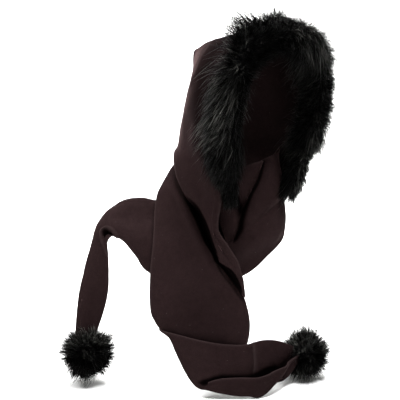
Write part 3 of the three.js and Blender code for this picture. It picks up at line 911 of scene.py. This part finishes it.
def pompom_fur(name, spec, material):
    """The strands of a pompom, standing out from its core all round."""
    rng = np.random.default_rng(spec["seed"])
    ways = unit(rng.normal(size=(POMPOM_STRANDS, 3)))
    roots = np.array(spec["centre"]) + ways * spec["core"]
    shifts = [Vector((k * POMPOM_SWAY["shift"], spec["seed"], 0)) for k in range(3)]
    flows = POMPOM_HAIR["sway"] * np.array(
        [[noise.noise(Vector(way) * POMPOM_SWAY["scale"] + shift) for shift in shifts] for way in ways]
    )
    flows -= ways * np.sum(flows * ways, 1)[:, None]
    flows[:, 2] -= POMPOM_HAIR["droop"]
    lobe = np.clip(ways @ np.array(spec["lobe"]), 0, 1) ** LOBE_SHARPNESS
    lengths = spec["length"] * rng.uniform(*POMPOM_HAIR["spread"], len(ways)) * (1 + spec["longer"] * lobe)
    lifts = unit(ways + rng.normal(0, POMPOM_HAIR["stray"], ways.shape)) * POMPOM_HAIR["lift"]
    # Painted light: the upper strands lighter
    lights = spec["light"] * (POMPOM_LIGHT["least"] + POMPOM_LIGHT["more"] * np.clip(ways[:, 2], 0, 1))
    return strands(name, roots, lifts, flows, lengths, lights, POMPOM_LOCKS, material, rng)


def trim_backing(material):
    """The roll that the trim's fur grows from."""
    places = np.linspace(TRIM["start"], TRIM["stop"], BACKING_ROWS)
    angles = np.linspace(0, 2 * math.pi, BACKING_SIDES, endpoint=False)
    here = np.repeat(places[:, None], BACKING_SIDES, 1)
    grid, _ = trim_points(here, np.tile(angles, (BACKING_ROWS, 1)))
    index = np.arange(BACKING_ROWS * BACKING_SIDES).reshape(-1, BACKING_SIDES)
    following = np.roll(index, -1, 1)
    quads = np.stack([index[:-1], index[1:], following[1:], following[:-1]], -1).reshape(-1, 4).tolist()
    ends = [index[0].tolist(), index[-1][::-1].tolist()]
    piece = new_object("trim_backing", grid.reshape(-1, 3), quads + ends, material)
    weld(piece)
    return piece


def pompom_core(name, spec, material):
    """The lumpy ball that a pompom's fur grows from."""
    mesh = bpy.data.meshes.new(name)
    shape = bmesh.new()
    bmesh.ops.create_icosphere(shape, subdivisions=4, radius=(spec["core"] + CORE_COVER) * METRE)
    centre = Vector(spec["centre"])
    for vertex in shape.verts:
        lump = noise.noise(vertex.co * CORE_LUMPS["scale"]) * CORE_LUMPS["height"] * METRE
        vertex.co += vertex.co.normalized() * lump + centre * METRE
    for face in shape.faces:
        face.smooth = True
    shape.to_mesh(mesh)
    shape.free()
    mesh.materials.append(material)
    piece = bpy.data.objects.new(name, mesh)
    bpy.context.scene.collection.objects.link(piece)
    return piece


def new_material(name, **values):
    material = bpy.data.materials.new(name)
    material.use_nodes = True
    shader = material.node_tree.nodes["Principled BSDF"]
    for socket, value in values.items():
        shader.inputs[socket.replace("_", " ")].default_value = value
    return material, material.node_tree, shader


def add_noise(tree, coordinates, scale, detail, distortion=0.0):
    node = tree.nodes.new("ShaderNodeTexNoise")
    node.inputs["Scale"].default_value = scale
    node.inputs["Detail"].default_value = detail
    node.inputs["Distortion"].default_value = distortion
    tree.links.new(coordinates, node.inputs["Vector"])
    return node.outputs["Fac"]


def add_ramp(tree, factor, *stops):
    node = tree.nodes.new("ShaderNodeValToRGB")
    for _ in stops[2:]:
        node.color_ramp.elements.new(0.5)
    for element, (position, colour) in zip(node.color_ramp.elements, stops):
        element.position = position
        element.color = (*colour, 1)
    tree.links.new(factor, node.inputs["Fac"])
    return node.outputs["Color"]


def add_mix(tree, factor, first, second, blend="MIX"):
    node = tree.nodes.new("ShaderNodeMix")
    node.data_type = "RGBA"
    node.blend_type = blend
    sockets = (node.inputs["Factor"], node.inputs[6], node.inputs[7])
    for socket, value in zip(sockets, (factor, first, second)):
        if hasattr(value, "is_linked"):
            tree.links.new(value, socket)
        else:
            socket.default_value = value
    return node.outputs[2]


def add_range(tree, value, low, high, to_low, to_high):
    node = tree.nodes.new("ShaderNodeMapRange")
    limits = {"From Min": low, "From Max": high, "To Min": to_low, "To Max": to_high}
    for name, number in limits.items():
        node.inputs[name].default_value = number
    tree.links.new(value, node.inputs["Value"])
    return node.outputs["Result"]


def read_paint(tree, word):
    """The value that paint() gave each point by the word."""
    node = tree.nodes.new("ShaderNodeAttribute")
    node.attribute_name = word
    return node.outputs["Fac"]


def add_bump(tree, heights):
    """Bump nodes in a chain, one for each height, strength and distance in millimetres."""
    previous = None
    for height, strength, distance in heights:
        node = tree.nodes.new("ShaderNodeBump")
        node.inputs["Strength"].default_value = strength
        node.inputs["Distance"].default_value = distance * METRE
        tree.links.new(height, node.inputs["Height"])
        if previous:
            tree.links.new(previous, node.inputs["Normal"])
        previous = node.outputs["Normal"]
    return previous


def fleece_material():
    material, tree, shader = new_material(
        "fleece_nap",
        Specular_IOR_Level=FLEECE_GLOSS,
        Sheen_Weight=SHEEN,
        Sheen_Roughness=0.3,
        Sheen_Tint=SHEEN_TINT,
    )
    place = tree.nodes.new("ShaderNodeTexCoord").outputs["Object"]
    broad = add_noise(tree, place, 14, 3)
    nap = add_noise(tree, place, 150, 4, 0.6)
    pile = add_noise(tree, place, 900, 3)
    colour = add_ramp(tree, broad, (0.3, FLEECE_DARK), (0.7, FLEECE_LIGHT))
    shade = add_ramp(tree, nap, (0.3, (0.9, 0.9, 0.9)), (0.7, (1.08, 1.08, 1.08)))
    colour = add_mix(tree, 1.0, colour, shade, "MULTIPLY")
    fibre = add_ramp(tree, pile, (0.35, (0.72, 0.72, 0.72)), (0.65, (1.25, 1.24, 1.24)))
    colour = add_mix(tree, 1.0, colour, fibre, "MULTIPLY")
    specks = tree.nodes.new("ShaderNodeTexVoronoi")
    specks.inputs["Scale"].default_value = 75
    tree.links.new(place, specks.inputs["Vector"])
    lint = add_range(tree, specks.outputs["Distance"], 0.02, 0.045, 0.6, 0)
    colour = add_mix(tree, lint, colour, LINT_COLOUR)
    # Painted highlight along the edges and fold ridges
    highlight_share = add_range(tree, read_paint(tree, "painted_highlight"), 0, 1, 0, 0.22)
    colour = add_mix(tree, highlight_share, colour, PAINTED_HIGHLIGHT_COLOUR)
    # Painted shade: near black in creases, gaps and beside the fur trim, with sheen and gloss taken away
    # there too
    painted_shade = read_paint(tree, "painted_shade")
    colour = add_mix(tree, painted_shade, colour, PAINTED_SHADE_COLOUR)
    tree.links.new(add_range(tree, painted_shade, 0, 1, SHEEN, 0), shader.inputs["Sheen Weight"])
    tree.links.new(add_range(tree, painted_shade, 0, 1, FLEECE_GLOSS, 0), shader.inputs["Specular IOR Level"])
    tree.links.new(colour, shader.inputs["Base Color"])
    tree.links.new(add_range(tree, nap, 0.3, 0.7, 0.97, 0.84), shader.inputs["Roughness"])
    heights = ((nap, 0.35, 0.8), (pile, 0.6, 0.35))
    tree.links.new(add_bump(tree, heights), shader.inputs["Normal"])
    return material


def fur_material():
    material, tree, shader = new_material("fur_hair", Specular_IOR_Level=0.08)
    place = tree.nodes.new("ShaderNodeTexCoord").outputs["Object"]
    # The strands' tone carries painted light and glints as well as their own random colour
    tone = read_paint(tree, "tone")
    colour = add_ramp(tree, tone, *FUR_COLOURS)
    patch = add_noise(tree, place, 24, 2)
    shade = add_ramp(tree, patch, (0.38, (0.25, 0.25, 0.25)), (0.62, (1.75, 1.75, 1.7)))
    tree.links.new(add_mix(tree, 1.0, colour, shade, "MULTIPLY"), shader.inputs["Base Color"])
    tree.links.new(add_range(tree, tone, 0.05, 0.7, 0.01, 0.16), shader.inputs["Specular IOR Level"])
    fine = add_noise(tree, place, 600, 2)
    tree.links.new(add_range(tree, fine, 0.3, 0.7, 0.34, 0.52), shader.inputs["Roughness"])
    tree.links.new(add_bump(tree, ((fine, 0.3, 0.2),)), shader.inputs["Normal"])
    return material


def backing_material():
    material, tree, shader = new_material("fur_backing", Specular_IOR_Level=0.15)
    place = tree.nodes.new("ShaderNodeTexCoord").outputs["Object"]
    tufts = add_noise(tree, place, 240, 3)
    colour = add_ramp(tree, tufts, (0.35, (0.0015, 0.0015, 0.0014)), (0.7, (0.006, 0.006, 0.0055)))
    tree.links.new(colour, shader.inputs["Base Color"])
    tree.links.new(add_range(tree, tufts, 0.3, 0.7, 0.75, 0.95), shader.inputs["Roughness"])
    tree.links.new(add_bump(tree, ((tufts, 0.8, 1.5),)), shader.inputs["Normal"])
    return material


def studio_material():
    material, tree, shader = new_material("studio_paper", Specular_IOR_Level=0.1)
    place = tree.nodes.new("ShaderNodeTexCoord").outputs["Object"]
    grain = add_noise(tree, place, 400, 2)
    colour = add_ramp(tree, grain, (0.3, (0.9, 0.9, 0.89)), (0.7, (0.92, 0.92, 0.91)))
    tree.links.new(colour, shader.inputs["Base Color"])
    tree.links.new(add_range(tree, grain, 0.3, 0.7, 0.9, 0.95), shader.inputs["Roughness"])
    return material


def way_to(azimuth, elevation):
    """The way from the hood towards an azimuth and an elevation, given in degrees."""
    turn, tilt = math.radians(azimuth), math.radians(elevation)
    return Vector((math.sin(turn) * math.cos(tilt), -math.cos(turn) * math.cos(tilt), math.sin(tilt)))


def put(piece, position, back):
    """Puts a camera or a light at a position, with its back turned to the way given."""
    piece.matrix_world = Matrix.LocRotScale(position, back.to_track_quat("Z", "Y"), None)
    bpy.context.scene.collection.objects.link(piece)


def add_camera():
    back = way_to(CAMERA_AZIMUTH, CAMERA_ELEVATION)
    data = bpy.data.cameras.new("photo_camera")
    data.lens = CAMERA_LENS
    data.sensor_width = SENSOR_WIDTH
    camera = bpy.data.objects.new("photo_camera", data)
    put(camera, Vector(CAMERA_AIM) * METRE + back * CAMERA_DISTANCE * METRE, back)
    bpy.context.scene.camera = camera


def add_light(name, azimuth, elevation, distance, size, power, aim=CAMERA_AIM):
    """A round area light that faces a point, the middle of the hood where none is named."""
    way = way_to(azimuth, elevation)
    data = bpy.data.lights.new(name, "AREA")
    data.shape = "DISK"
    data.size = size
    data.energy = power
    lamp = bpy.data.objects.new(name, data)
    put(lamp, Vector(aim) * METRE + way * distance, way)


def add_studio():
    """A pale floor that curves up into a wall far behind, and soft light."""
    profile = [(-FLOOR_REACH, FLOOR_HEIGHT)]
    for angle in np.linspace(0, math.pi / 2, WALL_STEPS):
        run = WALL_START + WALL_BEND * math.sin(angle)
        profile.append((run, FLOOR_HEIGHT + WALL_BEND - WALL_BEND * math.cos(angle)))
    profile.append((WALL_START + WALL_BEND, FLOOR_HEIGHT + WALL_HEIGHT))
    turn = math.radians(CAMERA_AZIMUTH)
    ahead = np.array((-math.sin(turn), math.cos(turn)))
    beside = np.array((ahead[1], -ahead[0]))
    sides = (-FLOOR_REACH, FLOOR_REACH)
    points = [(*(ahead * run + beside * side), height) for run, height in profile for side in sides]
    faces = [(i, i + 1, i + 3, i + 2) for i in range(0, len(points) - 2, 2)]
    backdrop = new_object("studio_backdrop", points, faces, studio_material())
    world = bpy.data.worlds.new("studio_world")
    world.use_nodes = True
    shade = world.node_tree.nodes["Background"]
    shade.inputs["Color"].default_value = (1, 1, 1, 1)
    shade.inputs["Strength"].default_value = WORLD_STRENGTH
    bpy.context.scene.world = world
    for light in LIGHTS:
        add_light(**light)


def back_seam(material):
    """The seam that closes the hood down the back."""
    middle = []
    for share in np.linspace(0, 1, SEAM_POINTS):
        near = SEAM_ROWS[0] + (CROWN_ROW - SEAM_ROWS[0]) * share
        far = SEAM_ROWS[1] + (CROWN_ROW - SEAM_ROWS[1]) * share
        ends = column(HOOD, "k", np.array([near, far]))
        middle.append(ends.mean(0))
    points, faces = tube(middle, SEAM_RADIUS, SEAM_SIDES)
    piece = new_object("back_seam", points, faces, material)
    weld(piece)
    return piece


def main():
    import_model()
    bpy.context.scene.view_settings.view_transform = "Standard"
    add_camera()
    add_studio()
    fleece = fleece_material()
    hair = fur_material()
    backing = backing_material()

    form = cloth_grid(lap_points, HOOD, HOOD_FOLDS, LAP_BANDS, HOOD_STEPS)
    hood = cloth("hood_cloth", *form, fleece)
    form = cloth_grid(
        right_tail_points,
        RIGHT_TAIL,
        RIGHT_TAIL_FOLDS,
        RIGHT_TAIL_BANDS,
        RIGHT_TAIL_STEPS,
        RIGHT_TAIL_PLEATS,
    )
    right = cloth("right_tail_cloth", *form, fleece)
    form = cloth_grid(
        left_tail_points,
        LEFT_TAIL,
        LEFT_TAIL_FOLDS,
        LEFT_TAIL_BANDS,
        LEFT_TAIL_STEPS,
        LEFT_TAIL_PLEATS,
    )
    left = cloth("left_tail_cloth", *form, fleece, inner_shade=0)
    seam = back_seam(fleece)
    roll = trim_backing(backing)
    replaced = [
        (hood, "hood_shell", "fleece"),
        (right, "right_tail", "fleece"),
        (left, "left_tail", "fleece"),
        (seam, None, "fleece"),
        (roll, "fur_trim", "fur"),
    ]
    for length in TRIM_PIECES:
        replaced.append((trim_fur(material=hair, **length), None, "fur"))
    for name, spec in (("left_pompom", LEFT_POMPOM), ("right_pompom", RIGHT_POMPOM)):
        replaced.append((pompom_core(f"{name}_core", spec, backing), name, "fur"))
        replaced.append((pompom_fur(f"{name}_fur", spec, hair), None, "fur"))
    for piece, node, slot in replaced:
        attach(piece, "root")
        if node:
            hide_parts(node)


main()
